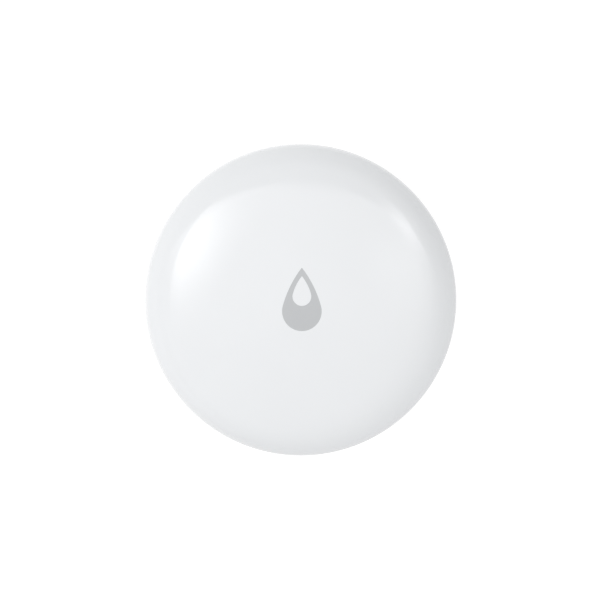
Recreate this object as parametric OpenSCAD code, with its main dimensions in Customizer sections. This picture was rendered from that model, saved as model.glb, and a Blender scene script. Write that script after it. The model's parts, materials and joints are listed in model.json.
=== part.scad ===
// Round water leak sensor: a domed push cover floating on a sealed base, with a coin-cell
// door and two probe screws underneath and the sensing board inside.
// Millimetres, +Z up. The origin is on the floor, under the middle of the sensor.
// The drop symbol's tip points to +Y and the two probe screws lie on the X axis.

/* [Housing] */
// Largest diameter, at the equator of the rounded rim
body_d = 50; // [49:0.5:60]
// Overall height, from the floor to the top of the crown
body_h = 15; // [14.2:0.1:18]
// Radius of the gently domed top face
crown_r = 70; // [55:1:120]
// Radius of the rounded rim
rim_r = 7; // [6.4:0.1:7.8]
// Wall of the top cover
cover_wall = 1.8; // [1.4:0.1:2.1]
// Open seam between the cover's lower edge and the base
seam_gap = 0.45; // [0.4:0.05:0.7]
// How far the cover goes down when it is pressed
press_travel = 0.3; // [0.2:0.05:0.35]
// Running clearance between sliding or turning plastic pieces
slide_gap = 0.15; // [0.1:0.01:0.2]
// Gap left where two pieces only just touch
touch_gap = 0.05; // [0.03:0.01:0.06]

/* [Drop symbol] */
// Radius of the drop's round end
drop_r = 3.15; // [2.6:0.05:3.6]
// Height of the drop, from its round end to its tip
drop_h = 10.1; // [9:0.1:12]
// Radius of the drop's bowed flanks
drop_flank_r = 17.5; // [13:0.5:24]
// Radius of the round end of the bare inner drop
drop_hole_r = 1.5; // [1.2:0.05:1.7]
// Height of the bare inner drop
drop_hole_h = 4.75; // [4:0.05:5]
// Radius of the inner drop's bowed flanks
drop_hole_flank_r = 7.8; // [5:0.1:10]
// Height of the inner drop's lowest point above the outer drop's
drop_hole_rise = 4; // [3.6:0.05:4.3]
// Thickness of the inlaid symbol
drop_t = 0.1; // [0.06:0.01:0.2]

/* [Base] */
// Height of the foot ring
foot_h = 0.6; // [0.4:0.1:0.9]
// Width of the foot ring
foot_w = 1.4; // [1:0.1:1.6]
// Distance from the base's lower edge to the foot ring
foot_inset = 0.5; // [0.3:0.1:0.8]
// Angle of each gap in the foot ring that lets water in
foot_gap_deg = 30; // [24:1:50]
// Thickness of the base's floor
base_floor = 2; // [1.8:0.1:2.3]
// Wall of the base that the cover slides over
base_wall = 1.6; // [1.4:0.1:1.8]
// Section of the seal ring between the cover and the base
cover_seal_d = 1; // [0.8:0.05:1.1]

/* [Snap legs] */
// Thickness of the cover's three snap legs
leg_t = 1; // [0.8:0.1:1.1]
// Angle that each snap leg covers
leg_deg = 13; // [10:1:15]
// Reach of the barb on each snap leg
barb = 0.7; // [0.5:0.05:0.8]
// Height of the barb
barb_h = 1; // [0.8:0.1:1.1]
// Thickness of the catches on the base
catch_t = 1.15; // [1:0.05:1.3]

/* [Coin cell] */
// Diameter of the coin cell
cell_d = 20; // [18:0.5:20.5]
// Height of the coin cell
cell_h = 3.2; // [2.6:0.1:3.8]
// Sheet thickness of the cell's can and cap
cell_sheet = 0.25; // [0.2:0.01:0.3]

/* [Battery door] */
// Thickness of the door's plate
door_t = 1.6; // [1.5:0.1:1.8]
// How far the door lies inside the base's lower face
door_inset = 0.2; // [0.1:0.05:0.3]
// Wall of the door's spigot
spigot_t = 1; // [0.8:0.1:1.2]
// Radial reach of the bayonet lugs
lug_reach = 0.85; // [0.7:0.05:1]
// Thickness of the bayonet lugs
lug_t = 0.9; // [0.8:0.1:1]
// Angle that each bayonet lug covers
lug_deg = 26; // [20:1:28]
// Turn from locked to open
door_turn = 40; // [36:1:44]
// Thickness of the ledge that the lugs lock behind
ledge_t = 0.8; // [0.7:0.1:1]
// Section of the door's seal ring
door_seal_d = 0.9; // [0.8:0.05:1]
// Length of the coin slot
slot_l = 16; // [12:0.5:17]
// Width of the coin slot
slot_w = 2.2; // [1.8:0.1:2.6]
// Depth of the coin slot
slot_depth = 1.5; // [1.2:0.1:1.6]

/* [Probes] */
// Radius of the probe screw's head
probe_head_r = 1.9; // [1.7:0.1:2.1]
// Height of the probe screw's head
probe_head_h = 1; // [0.9:0.05:1.1]
// How far the head stands out of the base's lower face
probe_stand = 0.4; // [0.25:0.05:0.4]
// Radius of the probe screw's shank
probe_shank_r = 1; // [0.9:0.05:1.1]
// Thickness of the rubber washer under the head
probe_seal_t = 0.5; // [0.4:0.05:0.6]
// Radius of the brass nut that the probe screw goes into
probe_nut_r = 1.5; // [1.4:0.05:1.7]

/* [Board] */
// Gap between the board's edge and the pressed cover
board_gap = 0.6; // [0.4:0.1:1]
// Thickness of the board
board_t = 1; // [0.8:0.1:1.2]
// Space between the cell and the board for the spring contact
contact_space = 0.8; // [0.7:0.05:1]
// Distance from the board's edge to the middle of its screws
board_screw_edge = 3.4; // [3:0.1:3.8]
// Side of the push switch
switch_w = 6; // [5.6:0.1:6.4]
// Height of the push switch's case
switch_h = 2.2; // [2.1:0.1:2.6]
// How far the switch's stem stands above its frame
stem_stand = 0.9; // [0.6:0.1:1.2]
// Radius of the switch's stem
stem_r = 1.7; // [1.5:0.05:1.8]

/* [Hidden] */
$fn = 96;

// A small overshoot, so that a cut goes clean through a face
over = 0.5;

// Dome: the rim's circle touches the crown's circle from inside
equator_r = body_d / 2;
rim_cx = equator_r - rim_r;
rim_sin = rim_cx / (crown_r - rim_r);
crown_cz = body_h - crown_r;
rim_cz = crown_cz + (crown_r - rim_r) * sqrt(1 - rim_sin * rim_sin);
function crown_end_r(inset) = (crown_r - inset) * rim_sin;
function rim_radius_at(z, inset) = rim_cx + sqrt(pow(rim_r - inset, 2) - pow(z - rim_cz, 2));
function rim_height_at(r, inset) = rim_cz + sqrt(pow(rim_r - inset, 2) - pow(r - rim_cx, 2));

// Heights of the base and the cover's edge
floor_z = foot_h + base_floor;
cover_edge_z = floor_z + seam_gap;
cover_in_r = equator_r - cover_wall;
wall_out_r = cover_in_r - slide_gap;
wall_in_r = wall_out_r - base_wall;
wall_top_z = rim_cz - press_travel;
foot_out_r = rim_radius_at(foot_h, 0) - foot_inset;
FOOT_ANGLES = [45, 135, 225, 315];

// Seal ring between the cover and the base, in a groove in the middle of the wall
cover_seal_z = (floor_z + wall_top_z) / 2;
cover_seal_r = cover_in_r - touch_gap - cover_seal_d / 2;
cover_groove_side = 0.1;

// Battery door, from the floor up
door_face_z = foot_h + door_inset;
door_top_z = door_face_z + door_t;
seat_gap = 0.1;
seat_z = door_top_z + seat_gap;
ledge_top_z = seat_z + ledge_t;
lug_z = ledge_top_z + touch_gap;
lug_top_z = lug_z + lug_t;
pocket_top_z = lug_top_z + seat_gap;
roof_t = 0.9;
roof_top_z = pocket_top_z + roof_t;
slot_cover_t = 0.8;
slot_boss_top_z = door_face_z + slot_depth + slot_cover_t;

// Battery door, from its axis outwards
cell_r = cell_d / 2;
cell_room = 0.4;
cell_bore_r = cell_r + cell_room;
spigot_in_r = cell_r + cell_room;
spigot_out_r = spigot_in_r + spigot_t;
bore_r = spigot_out_r + slide_gap;
lug_out_r = bore_r + lug_reach;
pocket_r = lug_out_r + slide_gap;
door_seal_r = pocket_r + 0.3 + door_seal_d / 2;
door_groove_w = door_seal_d + 0.2;
door_rim_w = 0.6;
door_r = door_seal_r + door_groove_w / 2 + door_rim_w;
seat_r = door_r + slide_gap;
door_seal_z = seat_z - touch_gap - door_seal_d / 2;
well_wall = 1.2;
LUG_ANGLES = [0, 120, 240];
lug_play_deg = 1;

// Coin cell, board and switch, stacked over the door
cell_z = max(slot_boss_top_z, door_top_z) + seat_gap;
cell_top_z = cell_z + cell_h;
board_z = cell_top_z + contact_space;
board_top_z = board_z + board_t;
board_r = rim_radius_at(board_top_z + press_travel, cover_wall) - board_gap;
board_edge = 0.5;
neck_r = cell_bore_r + 1.1;
neck_top_z = board_z - 0.3;
sheet = 0.2;
frame_t = 0.3;
frame_z = board_top_z + switch_h;
stem_top_z = frame_z + frame_t + stem_stand;
stem_flange = 0.35;
press_post_r = stem_r + 0.9;
stem_flange_t = 0.5;
stem_foot = 0.4;
stem_z = frame_z - touch_gap - stem_flange_t - stem_foot;
switch_floor_z = board_top_z + 0.6;

// Snap legs of the cover and the catches of the base
LEG_ANGLES = [90, 210, 330];
leg_out_r = wall_in_r - slide_gap;
leg_in_r = leg_out_r - leg_t;
leg_z = floor_z + press_travel + 0.5;
leg_top_z = rim_height_at(leg_in_r, cover_wall) + cover_wall / 2;
catch_out_r = leg_in_r - slide_gap;
catch_in_r = catch_out_r - catch_t;
catch_frame_deg = 2.5;
window_deg = leg_deg + 2;
window_z = leg_z - 0.3;
barb_top_z = leg_z + barb_h + 0.2;
window_top_z = barb_top_z + touch_gap;
catch_top_z = window_top_z + 0.9;

// Probes and the board's posts
PROBE_SIDES = [-1, 1];
recess_gap = 0.15;
recess_r = probe_head_r + recess_gap;
nut_neck_r = 0.9;
probe_x = min(wall_in_r - slide_gap - probe_nut_r, board_r - board_edge - nut_neck_r - touch_gap);
probe_head_z = foot_h - probe_stand;
probe_head_top_z = probe_head_z + probe_head_h;
recess_z = probe_head_top_z + probe_seal_t;
probe_boss_h = 0.3;
probe_nut_z = floor_z + probe_boss_h;
probe_bore_r = probe_shank_r + touch_gap;
probe_bore_top_z = board_z - 0.7;
SCREW_ANGLES = [30, 150, 270];
post_r = 1.7;
board_screw_pcr = board_r - board_screw_edge;
board_screw_r = 0.6;
board_screw_l = 3;
board_screw_head_r = 1.3;
board_screw_head_h = 0.7;

// Colours
cover_white = [0.93, 0.94, 0.95];
base_white = [0.90, 0.91, 0.92];
symbol_grey = [0.76, 0.77, 0.78];
seal_grey = [0.55, 0.56, 0.58];
steel = [0.78, 0.79, 0.80];
gold_bronze = [0.82, 0.68, 0.38];
board_green = [0.08, 0.33, 0.18];
chip_black = [0.12, 0.12, 0.13];

// A block of revolution from r0 to r1 and from z0 to z1, over deg degrees about the angle mid
module ring(r0, r1, z0, z1, mid = 180, deg = 360) {
    rotate([0, 0, mid - deg / 2])
        rotate_extrude(angle = deg)
            translate([r0, z0]) square([r1 - r0, z1 - z0]);
}

// A seal ring of round section
module seal_ring(r, z, section_d) {
    rotate_extrude() translate([r, z]) circle(d = section_d);
}

// Half section of the dome, set in by inset from the outer face, down to the height z0
module dome_section(inset, z0) {
    end_r = crown_end_r(inset);
    intersection() {
        translate([0, crown_cz]) circle(r = crown_r - inset);
        translate([0, z0]) square([end_r, body_h - z0]);
    }
    intersection() {
        translate([rim_cx, rim_cz]) circle(r = rim_r - inset);
        translate([end_r, z0]) square([equator_r, body_h]);
    }
}

// Points of an arc about the middle c, from the angle a0 to the angle a1
function arc(c, r, a0, a1, steps) =
    [for (i = [0:steps]) let (a = a0 + (a1 - a0) * i / steps) c + r * [cos(a), sin(a)]];

// Outline of a drop that stands on its lowest point: a round end of radius r and two bowed
// flanks of radius flank that touch the round end from outside and meet at the tip, h up
function drop_outline(r, h, flank) =
    let (
        tip = h - r,
        bow_y = (tip * tip + r * r - 2 * flank * r) / (2 * tip),
        bow_x = sqrt(pow(flank - r, 2) - bow_y * bow_y),
        touch_a = atan2(-bow_y, bow_x),
        tip_a = atan2(tip - bow_y, bow_x),
        right = arc([-bow_x, bow_y], flank, touch_a, tip_a, 24)
    )
    [for (p = concat(
        arc([0, 0], r, -180 - touch_a, touch_a, 48),
        [for (i = [1:24]) right[i]],
        [for (i = [23:-1:1]) [-right[i][0], right[i][1]]]
    )) p + [0, r]];

// The drop symbol as an upright prism through the top of the crown
module drop_prism() {
    translate([0, -drop_h / 2, body_h - 1])
        linear_extrude(2)
            difference() {
                polygon(drop_outline(drop_r, drop_h, drop_flank_r));
                translate([0, drop_hole_rise])
                    polygon(drop_outline(drop_hole_r, drop_hole_h, drop_hole_flank_r));
            }
}

// Gloss white push cover with its press post and three snap legs
module top_cover() {
    color(cover_white) difference() {
        union() {
            rotate_extrude() difference() {
                dome_section(0, cover_edge_z);
                dome_section(cover_wall, rim_cz);
                square([cover_in_r, rim_cz]);
            }
            ring(0, press_post_r, stem_top_z + touch_gap, body_h - cover_wall / 2);
            for (a = LEG_ANGLES) snap_leg(a);
        }
        difference() {
            drop_prism();
            translate([0, 0, crown_cz]) sphere(r = crown_r - drop_t);
        }
    }
}

// One snap leg, with a barb that hooks into the base's catch
module snap_leg(a) {
    ring(leg_in_r, leg_out_r, leg_z, leg_top_z, a, leg_deg);
    rotate([0, 0, a - leg_deg / 2]) rotate_extrude(angle = leg_deg)
        polygon([
            [leg_in_r + leg_t / 2, barb_top_z],
            [leg_in_r - barb, barb_top_z],
            [leg_in_r, barb_top_z - barb_h],
            [leg_in_r + leg_t / 2, barb_top_z - barb_h]
        ]);
}

// Grey drop symbol, inlaid flush with the crown
module drop_mark() {
    color(symbol_grey) difference() {
        intersection() {
            drop_prism();
            translate([0, 0, crown_cz]) sphere(r = crown_r);
        }
        translate([0, 0, crown_cz]) sphere(r = crown_r - drop_t);
    }
}

// Half section of the base: floor, sliding wall and battery well
module base_section() {
    difference() {
        union() {
            translate([0, foot_h]) square([rim_cx, base_floor]);
            intersection() {
                translate([rim_cx, rim_cz]) circle(r = rim_r);
                translate([rim_cx, foot_h]) square([rim_r, base_floor]);
            }
            translate([wall_in_r, foot_h]) square([base_wall, wall_top_z - foot_h]);
            translate([0, foot_h]) square([seat_r + well_wall, ledge_top_z - foot_h]);
            translate([0, foot_h]) square([pocket_r + well_wall, roof_top_z - foot_h]);
            translate([0, foot_h]) square([neck_r, neck_top_z - foot_h]);
        }
        square([seat_r, seat_z]);
        square([bore_r, pocket_top_z]);
        square([cell_bore_r, board_z]);
        translate([cover_seal_r - cover_seal_d / 2, cover_seal_z - cover_seal_d / 2 - cover_groove_side])
            square([cover_seal_d * 2, cover_seal_d + 2 * cover_groove_side]);
    }
}

// White base with its foot ring, battery well, bayonet, catches, posts and probe seats
module base_shell() {
    track_deg = lug_deg + door_turn + 2 * lug_play_deg;
    gap_deg = lug_deg + 2 * lug_play_deg;
    color(base_white) difference() {
        union() {
            rotate_extrude() base_section();
            for (a = FOOT_ANGLES)
                ring(foot_out_r - foot_w, foot_out_r, 0, foot_h + over, a, 90 - foot_gap_deg);
            for (a = LEG_ANGLES) snap_catch(a);
            for (a = SCREW_ANGLES) rotate([0, 0, a]) translate([board_screw_pcr, 0, floor_z - over])
                cylinder(r = post_r, h = board_z - floor_z + over);
            for (s = PROBE_SIDES) translate([s * probe_x, 0, floor_z - over])
                cylinder(r = recess_r, h = probe_boss_h + over);
        }
        // Bayonet: a track for each lug, and a gap in the ledge at the open end of the track
        for (a = LUG_ANGLES) {
            ring(bore_r - over, pocket_r, ledge_top_z, pocket_top_z, a - door_turn / 2, track_deg);
            ring(bore_r - over, pocket_r, seat_z - over, ledge_top_z + over, a - door_turn, gap_deg);
        }
        // Window in the neck for the positive contact
        ring(cell_bore_r - over, neck_r + over, roof_top_z, neck_top_z + over, 90, 32);
        for (a = SCREW_ANGLES) rotate([0, 0, a])
            translate([board_screw_pcr, 0, board_z - board_screw_l])
                cylinder(r = board_screw_r + touch_gap, h = board_screw_l + over);
        for (s = PROBE_SIDES) translate([s * probe_x, 0, 0]) {
            cylinder(r = recess_r, h = recess_z);
            cylinder(r = probe_shank_r + slide_gap, h = probe_nut_z + over);
        }
        door_marks();
    }
}

// One catch: a frame round the window that a snap leg's barb hooks into
module snap_catch(a) {
    difference() {
        ring(catch_in_r, catch_out_r, floor_z - over, catch_top_z, a, window_deg + 2 * catch_frame_deg);
        ring(catch_in_r - over, catch_out_r + over, window_z, window_top_z, a, window_deg);
    }
}

// Marks sunk into the base beside the door: a dot at locked and a ring at open
mark_depth = 0.25;
mark_r = 0.6;
mark_land = 0.7;
arrow_l = 1.8;
arrow_w = 2.2;
arrow_inset = 1.1;
module door_marks() {
    mark_pcr = seat_r + mark_land + mark_r;
    rotate([0, 0, 270]) translate([mark_pcr, 0, foot_h - over])
        cylinder(r = mark_r, h = mark_depth + over);
    rotate([0, 0, 270 - door_turn]) translate([mark_pcr, 0, foot_h - over]) difference() {
        cylinder(r = mark_r, h = mark_depth + over);
        translate([0, 0, -over]) cylinder(r = mark_r / 2, h = mark_depth + 3 * over);
    }
}

// Seal ring that the cover slides over
module cover_seal() {
    color(seal_grey) seal_ring(cover_seal_r, cover_seal_z, cover_seal_d);
}

// Round battery door with a coin slot, a spigot and three bayonet lugs
module battery_door() {
    edge = 0.35;
    slot_arc_r = (slot_l * slot_l / 4 + slot_depth * slot_depth) / (2 * slot_depth);
    groove_z = door_seal_z - door_seal_d / 2;
    color(base_white) difference() {
        union() {
            rotate_extrude() difference() {
                polygon([
                    [0, door_face_z], [door_r - edge, door_face_z],
                    [door_r, door_face_z + edge], [door_r, door_top_z], [0, door_top_z]
                ]);
                translate([door_seal_r - door_groove_w / 2, groove_z])
                    square([door_groove_w, door_seal_d * 2]);
            }
            ring(spigot_in_r, spigot_out_r, door_top_z - over, lug_top_z);
            for (a = LUG_ANGLES) ring(spigot_in_r, lug_out_r, lug_z, lug_top_z, a, lug_deg);
            intersection() {
                translate([0, 0, door_top_z - over])
                    cylinder(r = spigot_in_r - slide_gap, h = slot_boss_top_z - door_top_z + over);
                translate([-spigot_in_r, -slot_w / 2 - slot_cover_t, 0])
                    cube([2 * spigot_in_r, slot_w + 2 * slot_cover_t, slot_boss_top_z]);
            }
        }
        // The slot follows a coin's edge
        translate([0, slot_w / 2, door_face_z + slot_depth - slot_arc_r]) rotate([90, 0, 0])
            cylinder(r = slot_arc_r, h = slot_w);
        // Arrow that points at the locked mark
        rotate([0, 0, 270]) translate([0, 0, door_face_z - over])
            linear_extrude(mark_depth + over)
                polygon([
                    [door_r - arrow_inset, 0],
                    [door_r - arrow_inset - arrow_l, arrow_w / 2],
                    [door_r - arrow_inset - arrow_l, -arrow_w / 2]
                ]);
    }
}

// Seal ring in the door's groove
module door_seal() {
    color(seal_grey) seal_ring(door_seal_r, door_seal_z, door_seal_d);
}

// Coin cell: can below, insulating ring, cap above
cell_lip = 0.7;
cell_step = 0.3;
module coin_cell_can() {
    lip_z = cell_h - cell_step;
    color(steel) translate([0, 0, cell_z]) rotate_extrude() difference() {
        square([cell_r, lip_z]);
        translate([0, cell_sheet]) square([cell_r - cell_sheet, lip_z - 2 * cell_sheet]);
        translate([0, cell_sheet]) square([cell_r - cell_lip, lip_z]);
    }
}

module coin_cell_seal() {
    lip_z = cell_h - cell_step;
    ring_t = cell_sheet;
    color([0.85, 0.85, 0.82]) translate([0, 0, cell_z]) rotate_extrude() difference() {
        translate([0, cell_sheet]) square([cell_r - cell_sheet, lip_z - 2 * cell_sheet]);
        translate([0, 2 * cell_sheet]) square([cell_r - cell_sheet - ring_t, lip_z - 4 * cell_sheet]);
        square([cell_r - cell_lip - ring_t, lip_z]);
    }
}

module coin_cell_cap() {
    brim_z = cell_h - cell_step - 3 * cell_sheet;
    brim_r = cell_r - 2 * cell_sheet;
    top_r = cell_r - cell_lip - 2 * cell_sheet;
    color(steel) translate([0, 0, cell_z]) rotate_extrude() difference() {
        union() {
            translate([0, brim_z]) square([brim_r, cell_sheet]);
            translate([0, brim_z]) square([top_r, cell_h - brim_z]);
        }
        square([top_r - cell_sheet, cell_h - cell_sheet]);
    }
}

// Side contact: a foot under the board and a blade against the can, through the neck's window
module positive_contact() {
    blade_w = 4;
    blade_y = cell_r + touch_gap;
    foot_l = 3;
    color(gold_bronze) translate([-blade_w / 2, 0, 0]) {
        translate([0, blade_y, roof_top_z + touch_gap])
            cube([blade_w, sheet, board_z - roof_top_z - touch_gap]);
        translate([0, blade_y, board_z - sheet]) cube([blade_w, foot_l, sheet]);
    }
}

// Leaf contact: a pad under the board with two arms that reach down to the cell's cap
module negative_contact() {
    pad_l = 5;
    arm_l = 6;
    tip_l = 1.2;
    leaf_w = 3;
    low_z = cell_top_z + touch_gap;
    low_side = [
        [pad_l / 2, board_z - sheet], [arm_l, low_z], [arm_l + tip_l, low_z],
        [arm_l + tip_l, low_z + sheet], [arm_l, low_z + sheet], [pad_l / 2, board_z]
    ];
    other_side = [for (i = [len(low_side) - 1:-1:0]) [-low_side[i][0], low_side[i][1]]];
    color(gold_bronze) translate([0, leaf_w / 2, 0]) rotate([90, 0, 0])
        linear_extrude(leaf_w) polygon(concat(low_side, other_side));
}

// Round board with notches for the snap legs and holes for its screws and the probe nuts
module circuit_board() {
    notch_deg = leg_deg + 4;
    color(board_green) difference() {
        translate([0, 0, board_z]) cylinder(r = board_r, h = board_t);
        for (a = LEG_ANGLES)
            ring(leg_in_r - 2 * slide_gap, equator_r, board_z - over, board_top_z + over, a, notch_deg);
        for (a = SCREW_ANGLES) rotate([0, 0, a]) translate([board_screw_pcr, 0, board_z - over])
            cylinder(r = board_screw_r + 2 * slide_gap, h = board_t + 2 * over);
        for (s = PROBE_SIDES) translate([s * probe_x, 0, board_z - over])
            cylinder(r = nut_neck_r + touch_gap, h = board_t + 2 * over);
    }
}

// Three pan-head screws that hold the board on the base's posts
module board_screws() {
    drive = 0.35;
    color(steel) for (a = SCREW_ANGLES) rotate([0, 0, a]) translate([board_screw_pcr, 0, board_top_z])
        difference() {
            union() {
                cylinder(r = board_screw_head_r, h = board_screw_head_h);
                translate([0, 0, 0.3 - board_t - board_screw_l])
                    cylinder(r = board_screw_r, h = board_t + board_screw_l);
            }
            cross_recess(board_screw_head_r * 1.3, drive, board_screw_head_h - drive, drive + over);
        }
}

// Cross recess of a screw head: two slots of length l and width w, from the height z
module cross_recess(l, w, z, h) {
    for (a = [0, 90]) rotate([0, 0, a]) translate([-l / 2, -w / 2, z]) cube([l, w, h]);
}

// Push switch: case, steel frame, four terminals, snap dome and the stem that travels
module switch_case() {
    color(chip_black) difference() {
        translate([-switch_w / 2, -switch_w / 2, board_top_z]) cube([switch_w, switch_w, switch_h]);
        ring(0, stem_r + stem_flange + slide_gap, switch_floor_z, frame_z + over);
    }
}

module switch_frame() {
    rivet_r = 0.45;
    rivet_at = switch_w / 2 - 0.9;
    color(steel) {
        difference() {
            translate([-switch_w / 2, -switch_w / 2, frame_z]) cube([switch_w, switch_w, frame_t]);
            ring(0, stem_r + touch_gap, frame_z - over, frame_z + frame_t + over);
        }
        for (x = [-1, 1], y = [-1, 1]) translate([x * rivet_at, y * rivet_at, frame_z])
            cylinder(r = rivet_r, h = frame_t + 0.15);
    }
}

pin_w = 0.7;
pin_pitch = 4.5;
pin_rise = 1;
pin_l = 1.3;
module switch_terminals() {
    color(steel) for (x = [-1, 1], y = [-1, 1])
        translate([x * switch_w / 2, y * pin_pitch / 2, board_top_z]) rotate([0, 0, x > 0 ? 0 : 180])
            translate([0, -pin_w / 2, 0]) {
                cube([sheet, pin_w, pin_rise]);
                cube([pin_l, pin_w, sheet]);
            }
}

module switch_dome() {
    dome_base_r = stem_r + stem_flange;
    dome_h = stem_z - touch_gap - switch_floor_z;
    dome_sphere_r = (dome_base_r * dome_base_r + dome_h * dome_h) / (2 * dome_h);
    dome_t = 0.08;
    color(steel) translate([0, 0, switch_floor_z]) rotate_extrude() intersection() {
        difference() {
            translate([0, dome_h - dome_sphere_r]) circle(r = dome_sphere_r);
            translate([0, dome_h - dome_sphere_r]) circle(r = dome_sphere_r - dome_t);
        }
        square([dome_base_r, dome_h]);
    }
}

module switch_stem() {
    flange_z = stem_z + stem_foot;
    color(chip_black) {
        ring(0, stem_r - stem_flange, stem_z, flange_z + stem_flange_t);
        ring(0, stem_r + stem_flange, flange_z, flange_z + stem_flange_t);
        ring(0, stem_r, flange_z, stem_top_z);
    }
}

// A box that stands on the board, with its middle at the point at
module on_board(at, size) {
    translate([at[0] - size[0] / 2, at[1] - size[1] / 2, board_top_z]) cube(size);
}

// Status lamp beside the switch: a white foot and a clear lens in one moulding
module status_led() {
    led_at = [0, -switch_w / 2 - 2.2];
    color([0.85, 0.92, 1]) {
        on_board(led_at, [2, 1.25, 0.4]);
        on_board(led_at, [1.3, 1.1, 0.8]);
    }
}

chip_w = 6;
chip_h = 0.85;
chip_at = [-switch_w / 2 - chip_w / 2 - 3, 3];
module radio_chip() {
    color(chip_black) difference() {
        on_board(chip_at, [chip_w, chip_w, chip_h]);
        translate([chip_at[0] - chip_w / 2 + 0.9, chip_at[1] + chip_w / 2 - 0.9, board_top_z + chip_h - 0.1])
            cylinder(r = 0.35, h = 1);
    }
}

crystal_size = [3.2, 2.5, 0.7];
module crystal() {
    color(steel) on_board(chip_at + [0, chip_w / 2 + crystal_size[1] / 2 + 0.8], crystal_size);
}

// Flat copper antenna: a feed line and a row of meanders along the board's edge
trace_w = 0.6;
trace_t = 0.05;
trace_turns = 4;
trace_pitch = 2.4;
trace_loop = 3.2;
trace_feed = 3;
trace_edge = 1.2;
module antenna_trace() {
    half_pitch = trace_pitch / 2;
    low_y = leg_in_r - 2 * slide_gap - trace_edge - trace_loop;
    color([0.80, 0.50, 0.30])
        translate([-trace_turns * half_pitch, low_y, board_top_z]) linear_extrude(trace_t) {
            translate([0, -trace_feed]) square([trace_w, trace_feed + trace_loop]);
            for (i = [0:trace_turns - 1]) translate([i * trace_pitch, 0]) {
                translate([0, trace_loop - trace_w]) square([half_pitch + trace_w, trace_w]);
                translate([half_pitch, 0]) square([trace_w, trace_loop]);
                translate([half_pitch, 0]) square([half_pitch + trace_w, trace_w]);
                translate([trace_pitch, 0]) square([trace_w, trace_loop]);
            }
        }
}

// Small chip parts in two rows on the other side of the switch
small_l = 1;
small_w = 0.5;
small_h = 0.5;
small_pitch = 1.5;
small_count = 6;
small_room = 4;
small_row_pitch = 2;
module small_row(row) {
    x = switch_w / 2 + small_room + row * small_row_pitch;
    for (i = [0:small_count - 1])
        on_board([x, small_l + i * small_pitch], [small_l, small_w, small_h]);
}
module chip_capacitors() {
    color([0.72, 0.60, 0.46]) small_row(0);
}
module chip_resistors() {
    color(chip_black) small_row(1);
}

// Probe screw: a low domed head with a cross recess, and a plain shank up into its nut
module probe_screw(side) {
    recess_w = 0.6;
    recess_depth = 0.45;
    shank_top_z = probe_bore_top_z - touch_gap;
    dome_r = (probe_head_r * probe_head_r + probe_stand * probe_stand) / (2 * probe_stand);
    color(steel) translate([side * probe_x, 0, 0]) difference() {
        union() {
            intersection() {
                translate([0, 0, probe_head_z]) cylinder(r = probe_head_r, h = probe_head_h);
                translate([0, 0, probe_head_z + dome_r]) sphere(r = dome_r);
            }
            translate([0, 0, probe_head_z + probe_stand / 2])
                cylinder(r = probe_shank_r, h = shank_top_z - probe_head_z - probe_stand / 2);
        }
        cross_recess(probe_head_r * 1.1, recess_w, probe_head_z - over, recess_depth + over);
    }
}
module probe_screw_left() { probe_screw(-1); }
module probe_screw_right() { probe_screw(1); }

// Rubber washer between a probe screw's head and the base
module probe_seal(side) {
    color(seal_grey) translate([side * probe_x, 0, 0])
        ring(probe_shank_r + touch_gap, probe_head_r, probe_head_top_z, recess_z);
}
module probe_seal_left() { probe_seal(-1); }
module probe_seal_right() { probe_seal(1); }

// Brass nut that carries the board, joins the probe to it and takes the probe screw
module probe_nut(side) {
    color(gold_bronze) translate([side * probe_x, 0, 0]) difference() {
        union() {
            ring(0, probe_nut_r, probe_nut_z, board_z);
            ring(0, nut_neck_r, board_z - over, board_top_z + 0.1);
        }
        ring(0, probe_bore_r, probe_nut_z - over, probe_bore_top_z);
    }
}
module probe_nut_left() { probe_nut(-1); }
module probe_nut_right() { probe_nut(1); }

top_cover();
drop_mark();
base_shell();
cover_seal();
battery_door();
door_seal();
coin_cell_can();
coin_cell_cap();
coin_cell_seal();
positive_contact();
negative_contact();
circuit_board();
board_screws();
switch_case();
switch_frame();
switch_terminals();
switch_dome();
switch_stem();
status_led();
radio_chip();
crystal();
antenna_trace();
chip_capacitors();
chip_resistors();
probe_screw_left();
probe_screw_right();
probe_seal_left();
probe_seal_right();
probe_nut_left();
probe_nut_right();
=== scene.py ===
# Round water leak sensor: the looks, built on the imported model
import json
from math import acos, asin, atan, atan2, cos, degrees, pi, radians, sin, sqrt, tan

import bmesh
import bpy
from mathutils import Matrix, Vector
from mathutils.geometry import delaunay_2d_cdt


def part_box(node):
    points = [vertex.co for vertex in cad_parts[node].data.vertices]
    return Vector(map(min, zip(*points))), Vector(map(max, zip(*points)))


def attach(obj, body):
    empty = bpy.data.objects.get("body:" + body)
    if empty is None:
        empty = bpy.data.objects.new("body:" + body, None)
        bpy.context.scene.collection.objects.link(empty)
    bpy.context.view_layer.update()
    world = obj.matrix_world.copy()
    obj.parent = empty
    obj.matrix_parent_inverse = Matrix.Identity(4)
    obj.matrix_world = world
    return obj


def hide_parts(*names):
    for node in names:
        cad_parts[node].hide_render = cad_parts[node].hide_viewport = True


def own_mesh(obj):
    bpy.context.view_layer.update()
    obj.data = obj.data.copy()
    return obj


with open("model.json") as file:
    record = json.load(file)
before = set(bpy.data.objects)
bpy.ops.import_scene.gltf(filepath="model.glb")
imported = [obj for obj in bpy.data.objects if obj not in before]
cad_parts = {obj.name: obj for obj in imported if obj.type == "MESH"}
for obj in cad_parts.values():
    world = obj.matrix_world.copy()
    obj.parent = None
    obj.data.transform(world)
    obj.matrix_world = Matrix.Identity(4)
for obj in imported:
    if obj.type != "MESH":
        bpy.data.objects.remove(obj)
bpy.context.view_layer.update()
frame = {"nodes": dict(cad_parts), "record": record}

NODES = frame["nodes"]
MM = 0.001


def box_mm(node):
    """Low and high corner of a node's box, in millimetres."""
    low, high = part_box(node)
    return low / MM, high / MM


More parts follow.
